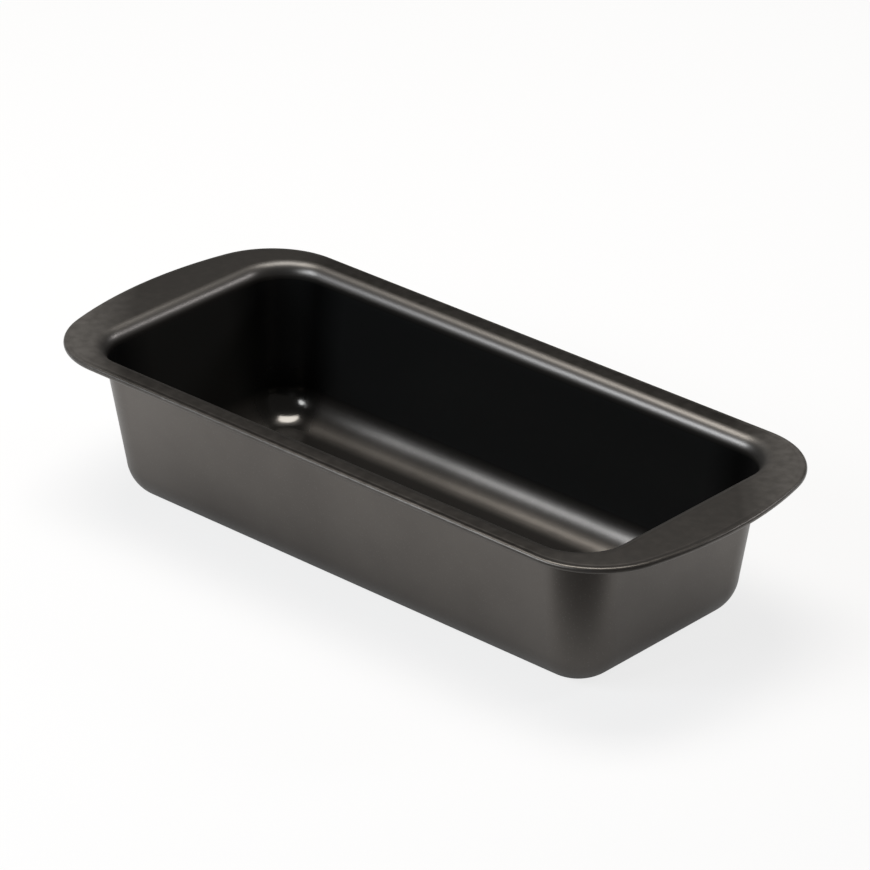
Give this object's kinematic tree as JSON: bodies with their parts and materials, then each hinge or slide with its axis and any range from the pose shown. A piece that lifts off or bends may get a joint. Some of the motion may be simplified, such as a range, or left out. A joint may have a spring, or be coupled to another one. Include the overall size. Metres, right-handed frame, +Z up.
{
  "type": "loaf pan",
  "caption": "Long rectangular loaf pan of coated sheet steel with tapered walls, round corners, a flat flange that widens into bowed end ledges, and a curled edge.",
  "frame": {"origin": "middle of the flat underside, on the surface that the pan stands on", "axes": "+X along the pan's length, +Y across it, +Z up to the rim"},
  "size_m": [0.3188, 0.14, 0.0672],
  "materials": {
    "sheet_steel": "plain cold-rolled sheet, bare only at its cut edge",
    "nonstick_coat": "smooth satin release coat, near black",
    "heat_coat": "satin heat-proof coat, warm dark grey"
  },
  "bodies": {
    "root": {"steel_body": "sheet_steel", "inner_nonstick_coat": "nonstick_coat", "outer_heat_coat": "heat_coat"}
  },
  "joints": []
}
